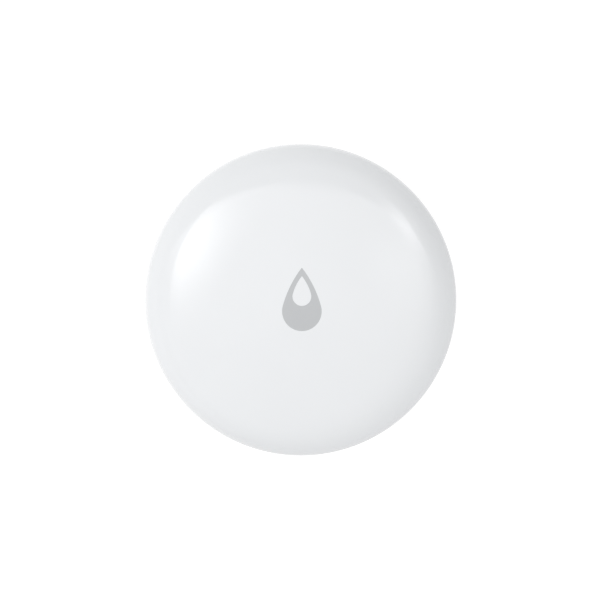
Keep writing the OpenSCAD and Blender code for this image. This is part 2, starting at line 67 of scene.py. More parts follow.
# Sizes that the frame gives, those of the board in millimetres
COVER_LOW, COVER_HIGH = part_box("top_cover")
EQUATOR_R = COVER_HIGH.x
BOARD_LOW, BOARD_TOP = [corner.z for corner in box_mm("circuit_board")]

# Sizes of the dome
CROWN_R = 70 * MM
RIM_R = 7 * MM
COVER_WALL = 1.8 * MM
POST_R = 2.6 * MM
POST_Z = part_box("switch_stem")[1].z + 0.05 * MM
RIM_X = EQUATOR_R - RIM_R
CROWN_Z = COVER_HIGH.z - CROWN_R
RIM_TILT = degrees(asin(RIM_X / (CROWN_R - RIM_R)))
RIM_Z = CROWN_Z + (CROWN_R - RIM_R) * cos(radians(RIM_TILT))

# The outer face goes from the crown to the rim through a softer arc
SOFT_R = 22 * MM
SOFT_START = 15.5
SOFT_STOP = 21.5
EDGE_ROUND = 0.3 * MM

# Mesh fineness and tolerances
AROUND = 240
EDGE_STEPS = 3
CORNER_STEPS = 4
SHARP_DEG = 35
FLAT_DEG = 0.5
EDGE_DEG = 17
WELD_GAP = 0.001 * MM
TINY = 0.00001 * MM


# Outlines

def arc(middle, radius, start, stop, steps):
    """Points (r, z) of an arc; its angles run in degrees from straight up towards +r."""
    points = []
    for i in range(steps + 1):
        turn = radians(start + (stop - start) * i / steps)
        points.append((middle[0] + radius * sin(turn), middle[1] + radius * cos(turn)))
    return points


def rounded(corners, steps=4, closed=False):
    """Points of a line in millimetres whose corners (x, y, radius) are turned into arcs."""
    points = []
    count = len(corners)
    for i, (x, y, radius) in enumerate(corners):
        here = Vector((x, y))
        if radius == 0 or (not closed and i in (0, count - 1)):
            points.append(here * MM)
            continue
        before = (Vector(corners[i - 1][:2]) - here).normalized()
        after = (Vector(corners[(i + 1) % count][:2]) - here).normalized()
        half = before.angle(after) / 2
        middle = here + (before + after).normalized() * radius / sin(half)
        start = here + before * radius / tan(half) - middle
        stop = here + after * radius / tan(half) - middle
        sweep = start.angle(stop)
        for k in range(steps + 1):
            mix = start * sin(sweep * (1 - k / steps)) + stop * sin(sweep * k / steps)
            points.append((middle + mix / sin(sweep)) * MM)
    return [(p.x, p.y) for p in points]


def block(size_x, size_y, low, high, edge):
    """Rows for add_stack of a box in millimetres about Z, with rounded edges and corners."""
    corner = 1.2 * edge
    low_rows = []
    high_rows = []
    for out, up in arc((0, 0), edge, 0, 90, EDGE_STEPS):
        cut = edge - out
        level = (size_x / 2 - cut, size_y / 2 - cut, corner - cut)
        low_rows.append((*level, low + edge - up))
        high_rows.append((*level, high - edge + up))
    return low_rows + high_rows[::-1]


# Mesh helpers

def new_object(name, data):
    """An object in the scene."""
    made = bpy.data.objects.new(name, data)
    bpy.context.scene.collection.objects.link(made)
    return made


def finish_mesh(name, mesh):
    """A smooth-shaded object of a bmesh, with its sharp creases kept."""
    bmesh.ops.recalc_face_normals(mesh, faces=mesh.faces)
    data = bpy.data.meshes.new(name)
    mesh.to_mesh(data)
    mesh.free()
    shade(data)
    return new_object(name, data)


def shade(data):
    """Smooth shading, with creases sharper than SHARP_DEG kept."""
    data.shade_smooth()
    data.set_sharp_from_angle(angle=radians(SHARP_DEG))


def bridge(mesh, low, high):
    """Faces between two rows of points that go round a body; a row may be one point."""
    count = max(len(low), len(high))
    for i in range(count):
        j = (i + 1) % count
        corners = [low[i % len(low)], low[j % len(low)], high[j % len(high)], high[i % len(high)]]
        mesh.faces.new(list(dict.fromkeys(corners)))


def add_rows(mesh, rows, loop=False):
    """Adds a closed body through rows of points, with end faces unless it closes in a loop."""
    for low, high in zip(rows, rows[1:]):
        bridge(mesh, low, high)
    if loop:
        bridge(mesh, rows[-1], rows[0])
        return
    for row in (rows[0], rows[-1]):
        if len(row) > 2:
            mesh.faces.new(row)


def add_lathe(mesh, profile, around=AROUND, shape=None):
    """Adds a closed body of revolution about Z; shape(r, z, turn) may change a point's radius."""
    rows = []
    for r, z in profile:
        if r < TINY:
            rows.append([mesh.verts.new((0, 0, z))])
            continue
        row = []
        for i in range(around):
            turn = 2 * pi * i / around
            reach = shape(r, z, turn) if shape else r
            row.append(mesh.verts.new((reach * cos(turn), reach * sin(turn), z)))
        rows.append(row)
    add_rows(mesh, rows, loop=len(rows[0]) > 1)


def add_sweep(mesh, section, middle_deg, span_deg, steps=16):
    """Adds a closed section (r, z), swept about Z, with flat ends."""
    rows = []
    for i in range(steps + 1):
        turn = radians(middle_deg + span_deg * (i / steps - 0.5))
        rows.append([mesh.verts.new((r * cos(turn), r * sin(turn), z)) for r, z in section])
    add_rows(mesh, rows)


def add_stack(mesh, levels, x=0, y=0):
    """Adds rounded rectangles in millimetres (half x, half y, corner, z), each above the last."""
    rows = []
    for half_x, half_y, corner, z in levels:
        row = []
        for quarter, (side_x, side_y) in enumerate(((1, 1), (-1, 1), (-1, -1), (1, -1))):
            middle_x = x + side_x * (half_x - corner)
            middle_y = y + side_y * (half_y - corner)
            for k in range(CORNER_STEPS + 1):
                turn = pi / 2 * (quarter + k / CORNER_STEPS)
                spot = (middle_x + corner * cos(turn), middle_y + corner * sin(turn), z)
                row.append(mesh.verts.new(Vector(spot) * MM))
        rows.append(row)
    add_rows(mesh, rows)


def add_strip(mesh, line, thick, half_width):
    """Adds a bent sheet along a line (x, z), thick on its right; half_width(x, z) is in y."""
    rows = []
    for i, (x, z) in enumerate(line):
        way = (Vector(line[min(i + 1, len(line) - 1)]) - Vector(line[max(i - 1, 0)])).normalized()
        wide = half_width(x, z)
        other_x, other_z = x + way.y * thick, z - way.x * thick
        spots = [(x, -wide, z), (x, wide, z), (other_x, wide, other_z), (other_x, -wide, other_z)]
        rows.append([mesh.verts.new(spot) for spot in spots])
    add_rows(mesh, rows)


def add_trace(mesh, line, width, low, high, loop=False):
    """Adds a flat line of even width through plan points in millimetres."""
    rows = []
    count = len(line)
    for i, spot in enumerate(line):
        here = Vector(spot)
        before = Vector(line[i - 1]) if loop or i > 0 else here
        after = Vector(line[(i + 1) % count]) if loop or i < count - 1 else here
        first = (here - before).normalized()
        second = (after - here).normalized()
        way = (first + second).normalized()
        mitre = max(way.dot(first), way.dot(second))
        side = Vector((-way.y, way.x)) * width / 2 / mitre
        left, right = here + side, here - side
        spots = [(*left, low), (*right, low), (*right, high), (*left, high)]
        rows.append([mesh.verts.new(Vector(p) * MM) for p in spots])
    add_rows(mesh, rows, loop)


def add_cross(mesh, length, width, low, high):
    """Adds an upright prism with the plan of a plus sign, in millimetres."""
    a, b = length / 2, width / 2
    outline = [(a, -b), (a, b), (b, b), (b, a), (-b, a), (-b, b),
               (-a, b), (-a, -b), (-b, -b), (-b, -a), (b, -a), (b, -b)]
    add_rows(mesh, [[mesh.verts.new(Vector((x, y, z)) * MM) for x, y in outline] for z in (low, high)])


def build(name, add, *args):
    """An object of one added shape."""
    mesh = bmesh.new()
    add(mesh, *args)
    return finish_mesh(name, mesh)


def shift(x, y=0):
    """A placing at a spot in plan, in millimetres."""
    return Matrix.Translation((x * MM, y * MM, 0))


def spin(turn_deg):
    """A placing that is turned about Z."""
    return Matrix.Rotation(radians(turn_deg), 4, "Z")


def copies(name, made, places):
    """One object of a shape repeated at each placing; the first object is used up."""
    mesh = bmesh.new()
    for matrix in places:
        data = made.data.copy()
        data.transform(matrix)
        mesh.from_mesh(data)
        bpy.data.meshes.remove(data)
    bpy.data.objects.remove(made)
    return finish_mesh(name, mesh)


def merge(made, other, operation):
    """Joins or cuts an object with another one, which is used up."""
    change = made.modifiers.new("merge", "BOOLEAN")
    change.operation = operation
    change.solver = "EXACT"
    change.object = other
    view = bpy.context.evaluated_depsgraph_get()
    made.data = bpy.data.meshes.new_from_object(made.evaluated_get(view))
    made.modifiers.clear()
    bpy.data.objects.remove(other)
    shade(made.data)
    return made


def soften(made, width, segments=EDGE_STEPS, clamp=False):
    """Rounds an object's edges by modifiers, and leaves its own mesh as it is."""
    weld = made.modifiers.new("weld", "WELD")
    weld.merge_threshold = WELD_GAP
    flat = made.modifiers.new("flat", "DECIMATE")
    flat.decimate_type = "DISSOLVE"
    flat.angle_limit = radians(FLAT_DEG)
    edge = made.modifiers.new("edge", "BEVEL")
    edge.width = width
    edge.segments = segments
    edge.limit_method = "ANGLE"
    edge.angle_limit = radians(EDGE_DEG)
    edge.use_clamp_overlap = clamp
    edge.harden_normals = True
    tidy = made.modifiers.new("tidy", "WELD")
    tidy.merge_threshold = WELD_GAP
    return made


def dress(made, body, slot, *nodes, material=None):
    """Puts a piece on its body with the material of its slot, or the material given, and hides the CAD nodes
    that it replaces.
    """
    made.data.materials.clear()
    made.data.materials.append(material or SLOT_MATERIALS[slot])
    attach(made, body)
    if nodes:
        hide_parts(*nodes)


# Material helpers

# The stretch in which nearly all of a noise lies
NOISE_LOW, NOISE_HIGH = 0.3, 0.7


def new_material(name):
    """A material with its node tree and its shader."""
    made = bpy.data.materials.new(name)
    made.use_nodes = True
    return made, made.node_tree, made.node_tree.nodes["Principled BSDF"]


def set_inputs(tree, node, inputs):
    """Sets a node's inputs; one that is given as a socket is linked."""
    for key, value in inputs.items():
        if isinstance(value, bpy.types.NodeSocket):
            tree.links.new(value, node.inputs[key])
        else:
            node.inputs[key].default_value = value
    return node


def add_node(tree, kind, inputs=None, **settings):
    """A new shader node with its settings and inputs."""
    made = tree.nodes.new("ShaderNode" + kind)
    for key, value in settings.items():
        setattr(made, key, value)
    return set_inputs(tree, made, inputs or {})


def calc(tree, operation, first, second=0.0):
    """A value worked out by a math node."""
    return add_node(tree, "Math", {0: first, 1: second}, operation=operation).outputs[0]


def product(tree, value, *others):
    """A product of values."""
    for other in others:
        value = calc(tree, "MULTIPLY", value, other)
    return value


def place(tree):
    """The surface point in the part's own frame, in metres."""
    return add_node(tree, "TexCoord").outputs["Object"]


def noise(tree, size, at=None):
    """Noise whose lumps are about size across."""
    inputs = {"Vector": at or place(tree), "Scale": 1 / size, "Detail": 3.0}
    return add_node(tree, "TexNoise", inputs).outputs["Fac"]


def rings(tree):
    """A point's distance from the Z axis and its height, which turning marks follow."""
    flat = add_node(tree, "VectorMath", {0: place(tree), 1: (1, 1, 0)}, operation="MULTIPLY")
    reach = add_node(tree, "VectorMath", {0: flat.outputs[0]}, operation="LENGTH")
    height = add_node(tree, "SeparateXYZ", {0: place(tree)}).outputs["Z"]
    inputs = {"X": reach.outputs["Value"], "Z": height}
    return add_node(tree, "CombineXYZ", inputs).outputs[0]


def spread(tree, value, low, high):
    """Maps a noise to the stretch from low to high."""
    inputs = {"Value": value, "From Min": NOISE_LOW, "From Max": NOISE_HIGH, "To Min": low, "To Max": high}
    return add_node(tree, "MapRange", inputs).outputs["Result"]


def tint(tree, value, dark, light):
    """A colour between dark and light, by a noise."""
    ramp = add_node(tree, "ValToRGB", {"Fac": value})
    stops = ramp.color_ramp.elements
    stops[0].position, stops[1].position = NOISE_LOW, NOISE_HIGH
    stops[0].color, stops[1].color = (*dark, 1), (*light, 1)
    return ramp.outputs["Color"]


def bump(tree, height, depth):
    """A normal that follows a bump of the given depth in metres."""
    inputs = {"Height": height, "Distance": depth, "Strength": 1.0}
    return add_node(tree, "Bump", inputs).outputs["Normal"]


def plastic(name, dark, light, rough, grain_size, grain_depth):
    """Moulded plastic: a faint flow mottle, uneven gloss and the mould's grain, in millimetres."""
    made, tree, shader = new_material(name)
    set_inputs(tree, shader, {
        "Base Color": tint(tree, noise(tree, 14 * MM), dark, light),
        "Roughness": spread(tree, noise(tree, 3 * MM), *rough),
        "IOR": 1.49,
        "Normal": bump(tree, noise(tree, grain_size * MM), grain_depth * MM),
    })
    return made


def metal(name, dark, light, rough, turned=False):
    """Bright metal with a fine mottle, or with the rings that turning leaves."""
    made, tree, shader = new_material(name)
    at = rings(tree) if turned else place(tree)
    set_inputs(tree, shader, {
        "Base Color": tint(tree, noise(tree, 1.2 * MM, at), dark, light),
        "Roughness": spread(tree, noise(tree, 0.3 * MM, at), *rough),
        "Metallic": 1,
        "Normal": bump(tree, noise(tree, 0.12 * MM, at), 0.003 * MM),
    })
    return made


def solder_mask(name, edge, mask):
    """Board laminate: green mask over glass weave on the faces, bare resin along the cut edges."""
    made, tree, shader = new_material(name)
    normal = add_node(tree, "TexCoord").outputs["Normal"]
    upright = add_node(tree, "SeparateXYZ", {0: normal}).outputs["Z"]
    mottle = product(tree, noise(tree, 2 * MM), 0.3)
    face = calc(tree, "SUBTRACT", calc(tree, "ABSOLUTE", upright), mottle)
    weave = {"Vector": place(tree), "Scale": 0.32 / MM, "Distortion": 0.2}
    warp = add_node(tree, "TexWave", weave, bands_direction="X").outputs["Fac"]
    weft = add_node(tree, "TexWave", weave, bands_direction="Y").outputs["Fac"]
    set_inputs(tree, shader, {
        "Base Color": tint(tree, face, edge, mask),
        "Roughness": spread(tree, noise(tree, 1 * MM), 0.22, 0.34),
        "Normal": bump(tree, calc(tree, "MAXIMUM", warp, weft), 0.004 * MM),
    })
    return made


def clear_resin(name, dark, light):
    """Slightly cloudy clear resin, for the lamp's lens."""
    made = plastic(name, dark, light, (0.08, 0.15), 0.4, 0.002)
    made.node_tree.nodes["Principled BSDF"].inputs["Transmission Weight"].default_value = 0.6
    return made


STEEL = metal("steel", (0.56, 0.57, 0.58), (0.66, 0.67, 0.68), (0.2, 0.32))
TIN = metal("tin", (0.62, 0.63, 0.64), (0.72, 0.73, 0.74), (0.24, 0.4))
TRACE_GREEN = solder_mask("trace_green", (0.03, 0.16, 0.06), (0.025, 0.19, 0.065))
INK_WHITE = plastic("ink_white", (0.70, 0.70, 0.68), (0.76, 0.76, 0.74), (0.5, 0.6), 0.1, 0.004)

# The material of each slot of the record
SLOT_MATERIALS = {
    "cover_plastic": plastic("cover_white", (0.858, 0.873, 0.890), (0.870, 0.885, 0.902), (0.05, 0.08),
                             2.5, 0.0004),
    "symbol_film": plastic("print_grey", (0.500, 0.512, 0.525), (0.512, 0.524, 0.537), (0.29, 0.36),
                           0.2, 0.0015),
    "base_plastic": plastic("base_white", (0.80, 0.81, 0.825), (0.825, 0.835, 0.85), (0.38, 0.52),
                            0.14, 0.012),
    "seal_rubber": plastic("seal_grey", (0.24, 0.25, 0.27), (0.29, 0.30, 0.32), (0.55, 0.7), 0.1, 0.006),
    "cell_steel": metal("cell_steel", (0.58, 0.58, 0.57), (0.66, 0.66, 0.65), (0.2, 0.3), turned=True),
    "cell_insulator": plastic("insulator", (0.66, 0.66, 0.61), (0.70, 0.70, 0.65), (0.4, 0.5), 0.2, 0.004),
    "contact_bronze": metal("gold", (0.62, 0.42, 0.14), (0.72, 0.50, 0.18), (0.2, 0.32)),
    "board_laminate": solder_mask("board_green", (0.42, 0.36, 0.20), (0.008, 0.10, 0.035)),
    "screw_steel": STEEL,
    "chip_resin": plastic("black_resin", (0.012, 0.012, 0.013), (0.02, 0.02, 0.022), (0.42, 0.6),
                          0.08, 0.005),
    "capacitor_resin": plastic("tan_resin", (0.40, 0.28, 0.16), (0.48, 0.34, 0.20), (0.3, 0.45), 0.1, 0.004),
    "lamp_resin": clear_resin("lamp_resin", (0.75, 0.80, 0.86), (0.82, 0.86, 0.90)),
    "nut_brass": metal("brass", (0.55, 0.38, 0.13), (0.65, 0.46, 0.17), (0.22, 0.36)),
}


# CAD nodes that keep their shape

def finish_nodes():
    """Gives CAD nodes the materials of their slots, and rounds the edges of those that stay."""
    for subpart in frame["record"]["subparts"]:
        data = NODES[subpart["node"]].data
        data.materials.clear()
        data.materials.append(SLOT_MATERIALS[subpart["material_slot"]])
    rounds = {
        "battery_door": 0.15, "coin_cell_seal": 0.06, "circuit_board": 0.06, "switch_case": 0.12,
        "switch_frame": 0.05, "switch_stem": 0.12, "radio_chip": 0.05, "antenna_trace": 0.015,
        "probe_seal_left": 0.08, "probe_seal_right": 0.08,
    }
    for name, width in rounds.items():
        soften(NODES[name], width * MM, clamp=name == "battery_door")


finish_nodes()


# Cover

LEG_TURNS = (90, 210, 330)
LEG_SPAN = 13


def step_in(middle, radius, turn, next_radius):
    """Middle of the next arc that goes on smoothly from an arc at the angle turn."""
    lean = radians(turn)
    change = radius - next_radius
    return (middle[0] + change * sin(lean), middle[1] + change * cos(lean))


def dome_face():
    """The outer face from the axis to the lower edge: crown, softer arc, rim and a rounded lip."""
    soft = step_in((0, CROWN_Z), CROWN_R, SOFT_START, SOFT_R)
    soft_end = soft[0] + SOFT_R * sin(radians(SOFT_STOP))
    rim_r = (EQUATOR_R - soft_end) / (1 - sin(radians(SOFT_STOP)))
    rim = step_in(soft, SOFT_R, SOFT_STOP, rim_r)
    lip_z = COVER_LOW.z + EDGE_ROUND
    lip_turn = degrees(acos((lip_z - rim[1]) / (rim_r - EDGE_ROUND)))
    lip = step_in(rim, rim_r, lip_turn, EDGE_ROUND)
    inner = (EQUATOR_R - COVER_WALL + EDGE_ROUND, lip_z)
    return (arc((0, CROWN_Z), CROWN_R, 0, SOFT_START, 36)[:-1]
            + arc(soft, SOFT_R, SOFT_START, SOFT_STOP, 12)[:-1]
            + arc(rim, rim_r, SOFT_STOP, lip_turn, 64)[:-1] + arc(lip, EDGE_ROUND, lip_turn, 180, 8)
            + arc(inner, EDGE_ROUND, 180, 270, 8))


def add_legs(mesh):
    """Three snap legs with barbs, which reach down into the base."""
    low, top, inner, outer, barb = 3.4, 10.94, 20.3, 21.3, 0.7
    barb_top = low + 1.2
    section = rounded([(inner, top, 0), (inner, barb_top, 0.2), (inner - barb, barb_top, 0.15),
                       (inner, low + 0.1, 0.3), (inner + 0.4, low, 0.2), (outer, low, 0.25),
                       (outer, top, 0)])
    for middle_deg in LEG_TURNS:
        add_sweep(mesh, section, middle_deg, LEG_SPAN)


def make_cover():
    """Gloss cover with its press post and snap legs, as one shell."""
    inside = arc((RIM_X, RIM_Z), RIM_R - COVER_WALL, 90, RIM_TILT, 24)
    ceiling_r = CROWN_R - COVER_WALL
    post_tilt = degrees(asin(POST_R / ceiling_r))
    ceiling = arc((0, CROWN_Z), ceiling_r, RIM_TILT, post_tilt, 16)[1:]
    post = arc((POST_R - EDGE_ROUND, POST_Z + EDGE_ROUND), EDGE_ROUND, 90, 180, 6) + [(0, POST_Z)]
    shell = build("cover_shell", add_lathe, dome_face() + inside + ceiling + post)
    return merge(shell, build("legs", add_legs), "UNION")


dress(make_cover(), "cover", "cover_plastic", "top_cover")


# Base

# How far its edges are rounded, and where they lie, in millimetres
OUTSIDE_ROUND, FOOT_TOP, LEDGE_R, LEDGE_TOP = 0.16, 0.61, 20, 2.61
MARK_ROUND, MARK_INNER_R, MARK_OUTER_R, MARK_TOP = 0.04, 15, 17, 0.9
WALL_ROUND, WALL_R, WALL_LOW = 0.2, 21.4, 5
CREASE_LOW_DEG, CREASE_HIGH_DEG = 40, 150


def base_round(r, z):
    """How far an edge of the base is rounded, by where it lies."""
    if MARK_INNER_R < r < MARK_OUTER_R and z < MARK_TOP:
        return MARK_ROUND
    if z < FOOT_TOP or (r > LEDGE_R and z < LEDGE_TOP):
        return OUTSIDE_ROUND
    if r > WALL_R and z > WALL_LOW:
        return WALL_ROUND
    return 0


def make_base():
    """The base with its outside edges, its marks and the top of its wall rounded."""
    mesh = bmesh.new()
    mesh.from_mesh(NODES["base_shell"].data)
    bmesh.ops.remove_doubles(mesh, verts=mesh.verts, dist=WELD_GAP)
    flat = radians(FLAT_DEG)
    bmesh.ops.dissolve_limit(mesh, angle_limit=flat, verts=mesh.verts, edges=mesh.edges)
    for width in (OUTSIDE_ROUND, MARK_ROUND, WALL_ROUND):
        chosen = []
        for edge in mesh.edges:
            middle = (edge.verts[0].co + edge.verts[1].co) / 2 / MM
            turn = degrees(edge.calc_face_angle(0))
            sharp = CREASE_LOW_DEG < turn < CREASE_HIGH_DEG
            if sharp and base_round(middle.xy.length, middle.z) == width:
                chosen.append(edge)
        bmesh.ops.bevel(mesh, geom=chosen, offset=width * MM, segments=EDGE_STEPS, profile=0.5,
                        affect="EDGES")
    made = finish_mesh("base_housing", mesh)
    even = made.modifiers.new("normals", "WEIGHTED_NORMAL")
    even.weight = 100
    even.keep_sharp = True
    return made


dress(make_base(), "base", "base_plastic", "base_shell")


# Drop symbol

DROP_R, DROP_H, DROP_FLANK = 3.15 * MM, 10.1 * MM, 17.5 * MM
HOLE_R, HOLE_H, HOLE_FLANK, HOLE_RISE = 1.5 * MM, 4.75 * MM, 7.8 * MM, 4 * MM
ROUND_STEPS, FLANK_STEPS = 96, 48
PRINT_LIFT, PRINT_SINK = 0.012 * MM, 0.05 * MM
PRINT_GRID, PRINT_CELLS = 0.25 * MM, 24


def drop_outline(r, h, flank):
    """A drop that stands on its round end, with bowed flanks that meet at the tip."""
    tip = h - r
    bow_y = (tip * tip + r * r - 2 * flank * r) / (2 * tip)
    bow_x = sqrt((flank - r) ** 2 - bow_y ** 2)
    touch = degrees(atan2(bow_x, -bow_y))
    end = degrees(atan2(bow_x, tip - bow_y))
    right = arc((-bow_x, r + bow_y), flank, touch, end, FLANK_STEPS)[1:]
    left = [(-x, y) for x, y in reversed(right[:-1])]
    return arc((0, r), r, 360 - touch, touch, ROUND_STEPS) + right + left


def crown_height(x, y, lift):
    """Height of the crown, lifted along its own radius."""
    return CROWN_Z + sqrt((CROWN_R + lift) ** 2 - x * x - y * y)


def make_drop():
    """The printed symbol: a thin film that follows the crown."""
    outer = [(x, y - DROP_H / 2) for x, y in drop_outline(DROP_R, DROP_H, DROP_FLANK)]
    hole = [(x, y - DROP_H / 2 + HOLE_RISE) for x, y in drop_outline(HOLE_R, HOLE_H, HOLE_FLANK)]
    edge = [Vector(p) for p in outer + hole]
    cells = range(-PRINT_CELLS, PRINT_CELLS + 1)
    grid = [Vector((i * PRINT_GRID, j * PRINT_GRID)) for i in cells for j in cells]
    clear = 0.4 * PRINT_GRID
    points = edge + [p for p in grid if min((p - q).length for q in edge) > clear]
    loops = [list(range(len(outer))), list(range(len(outer), len(outer) + len(hole)))[::-1]]
    inside_only, snap = 2, 0.0001 * MM
    found, _, faces, _, _, _ = delaunay_2d_cdt(points, [], loops, inside_only, snap)
    mesh = bmesh.new()
    under = [mesh.verts.new((p.x, p.y, crown_height(p.x, p.y, -PRINT_SINK))) for p in found]
    for face in faces:
        mesh.faces.new([under[i] for i in face])
    bmesh.ops.delete(mesh, geom=[v for v in mesh.verts if not v.link_faces], context="VERTS")
    raised = bmesh.ops.extrude_face_region(mesh, geom=mesh.faces[:], use_keep_orig=True)["geom"]
    for v in raised:
        if isinstance(v, bmesh.types.BMVert):
            v.co.z = crown_height(v.co.x, v.co.y, PRINT_LIFT)
    return finish_mesh("drop_print", mesh)


dress(make_drop(), "cover", "symbol_film", "drop_mark")


# Seals

def make_seal(node):
    """A rubber ring with the fine flash of its mould inside and outside."""
    low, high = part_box(node)
    section_r = (high.z - low.z) / 2
    middle_r = high.x - section_r
    steps, flash = 48, 0.03 * MM
    profile = arc((middle_r, low.z + section_r), section_r, 0, 360, steps)[:-1]
    for i, rise in ((steps // 4, flash), (3 * steps // 4, -flash)):
        profile[i] = (profile[i][0] + rise, profile[i][1])
    return build(node + "_ring", add_lathe, profile, 192)


dress(make_seal("cover_seal"), "base", "seal_rubber", "cover_seal")
dress(make_seal("door_seal"), "door", "seal_rubber", "door_seal")


# Coin cell

CELL_SHEET = 0.25
CELL_LIP = 0.7
CELL_AROUND = 144


def make_can():
    """Drawn can with a rolled lip, a stepped face and a plus sign on it."""
    low, high = box_mm("coin_cell_can")
    r, base, top, sheet = high.x, low.z, high.z, CELL_SHEET
    lip = r - CELL_LIP
    profile = rounded([
        (0, base + 0.05, 0), (r - 1.8, base + 0.05, 0.1), (r - 1.6, base, 0.1), (r, base, 0.55),
        (r, top, 0.3), (lip, top, 0.1), (lip, top - sheet, 0.1), (r - sheet, top - sheet, 0.04),
        (r - sheet, base + sheet, 0.3), (0, base + sheet, 0)])
    can = build("cell_can", add_lathe, profile, CELL_AROUND)
    return merge(can, build("sign", add_cross, 3.2, 0.6, base + 0.02, base + 0.15), "UNION")


def make_cap():
    """Pressed cap with a brim and a shallow ring in its top."""
    low, high = box_mm("coin_cell_cap")
    brim, base, top, sheet = high.x, low.z, high.z, CELL_SHEET
    r = brim - CELL_LIP
    profile = rounded([
        (0, top - 0.04, 0), (r - 1.5, top - 0.04, 0.1), (r - 1.3, top, 0.1), (r, top, 0.35),
        (r, base + sheet, 0.1), (brim, base + sheet, 0.1), (brim, base, 0.1), (r - sheet, base, 0.1),
        (r - sheet, top - sheet, 0.2), (0, top - sheet, 0)])
    return build("cell_cap", add_lathe, profile, CELL_AROUND)


dress(make_can(), "base", "cell_steel", "coin_cell_can")
dress(make_cap(), "base", "cell_steel", "coin_cell_cap")


# Battery contacts and switch springs

SHEET = 0.2 * MM
SHEET_ROUND = 0.03 * MM
FOOT_HALF = 0.35
FOOT_X = box_mm("switch_terminals")[1].x
FOOT_Y = box_mm("switch_terminals")[1].y - FOOT_HALF


def bent_sheet(name, line, half_width, *places):
    """A bent strip of sheet metal with softened edges, repeated at each placing."""
    strip = build("strip", add_strip, line, SHEET, half_width)
    return soften(copies(name, strip, places), SHEET_ROUND, 2)


def make_leaf_contact():
    """Leaf under the board, with two tapered arms that bow down to the cell."""
    low, high = box_mm("negative_contact")
    reach, pad, pad_z = high.x, 2.5, BOARD_LOW - 0.2
    right = [(reach, low.z + 0.3, 0), (reach - 0.7, low.z, 0.9), (pad, pad_z, 1.2)]
    left = [(-x, z, radius) for x, z, radius in reversed(right)]

    def half_width(x, z):
        """Full width at the pad, narrower towards the tips."""
        share = max(abs(x) - pad * MM, 0) / ((reach - pad) * MM)
        return high.y * MM * (1 - 0.45 * share)

    return bent_sheet("leaf_contact", rounded(right + left, 8), half_width, shift(0))


def make_side_contact():
    """Blade beside the cell, bent over into a foot under the board."""
    low, high = box_mm("positive_contact")
    line = rounded([(low.y + 0.12, low.z, 0), (low.y, low.z + 0.5, 0.6), (low.y, high.z, 0.45),
                    (high.y, high.z, 0)], 8)

    def half_width(x, z):
        """Narrower at the lower end of the blade."""
        drop = max(low.z + 0.8 - z / MM, 0)
        return (high.x - 0.4 * drop * drop) * MM

    return bent_sheet("side_contact", line, half_width, spin(90))


def make_terminals():
    """Four bent feet of the push switch."""
    low, high = box_mm("switch_terminals")
    bend_x = FOOT_X - 1.3
    line = rounded([(FOOT_X, low.z, 0), (bend_x, low.z, 0.35), (bend_x, high.z, 0)], 6)
    aside = [shift(0, side * FOOT_Y) for side in (-1, 1)]
    places = aside + [spin(180) @ matrix for matrix in aside]
    return bent_sheet("switch_feet", line, lambda x, z: FOOT_HALF * MM, *places)


def make_snap_dome():
    """Thin sprung dome with a dimple. The real one flattens when the switch is pressed; this mesh stays
    domed.
    """
    low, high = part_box("switch_dome")
    height = high.z - low.z
    sphere_r = (high.x * high.x + height * height) / (2 * height)
    middle = (0, high.z - sphere_r)
    edge_deg = degrees(asin(high.x / sphere_r))
    sheet, dimple_deg = 0.08 * MM, 7
    dimple = [(0, high.z - 0.05 * MM), (0.25 * MM, high.z - 0.04 * MM)]
    outer = arc(middle, sphere_r, dimple_deg, edge_deg, 20)
    inner = arc(middle, sphere_r - sheet, edge_deg, 0, 24)
    dome = build("snap_dome", add_lathe, dimple + outer + inner, 96)
    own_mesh(dome)
    return dome


dress(make_leaf_contact(), "base", "contact_bronze", "negative_contact")
dress(make_side_contact(), "base", "contact_bronze", "positive_contact")
dress(make_terminals(), "base", "screw_steel", "switch_terminals", material=TIN)
dress(make_snap_dome(), "base", "screw_steel", "switch_dome")


# Screws and nuts

SCREW_TURNS = (30, 150, 270)


def thread(shank_r, pitch, depth):
    """Shape for add_lathe that cuts a thread into the rows of radius shank_r."""
    def shape(r, z, turn):
        """Lowers the surface between the crests of a helix."""
        if abs(r - shank_r) > TINY:
            return r
        phase = (z / pitch - turn / (2 * pi)) % 1
        return r - depth * abs(2 * phase - 1)
    return shape


def shank_rows(r, start, stop, pitch):
    """Rows for add_lathe along a shank in millimetres, six to each turn of its thread."""
    count = round(abs(stop - start) / pitch * 6)
    return [(r * MM, (start + (stop - start) * i / count) * MM) for i in range(count + 1)]


def make_probe_screw(name, node):
    """Domed head with a cross recess below, and a threaded shank above."""
    low, high = box_mm(node)
    head_r, stand, shank_r, pitch = (high.x - low.x) / 2, 0.4, 1.0, 0.4
    head_top = low.z + 1
    dome_r = (head_r * head_r + stand * stand) / (2 * stand)
    dome = [(r, z, 0) for r, z in arc((0, low.z + dome_r), dome_r, 180, 162, 10)]
    head = rounded(dome + [(head_r, low.z + stand, 0.15), (head_r, head_top, 0.1), (0.85, head_top, 0)])
    shank = shank_rows(shank_r, head_top + 0.2, high.z - 0.2, pitch)
    profile = head + shank + [(0.75 * MM, high.z * MM), (0, high.z * MM)]
    screw = build("screw", add_lathe, profile, 64, thread(shank_r * MM, pitch * MM, 0.15 * MM))
    recess = build("recess", add_cross, head_r * 1.1, 0.6, low.z - 0.5, low.z + 0.45)
    return copies(name, merge(screw, recess, "DIFFERENCE"), [shift((low.x + high.x) / 2)])


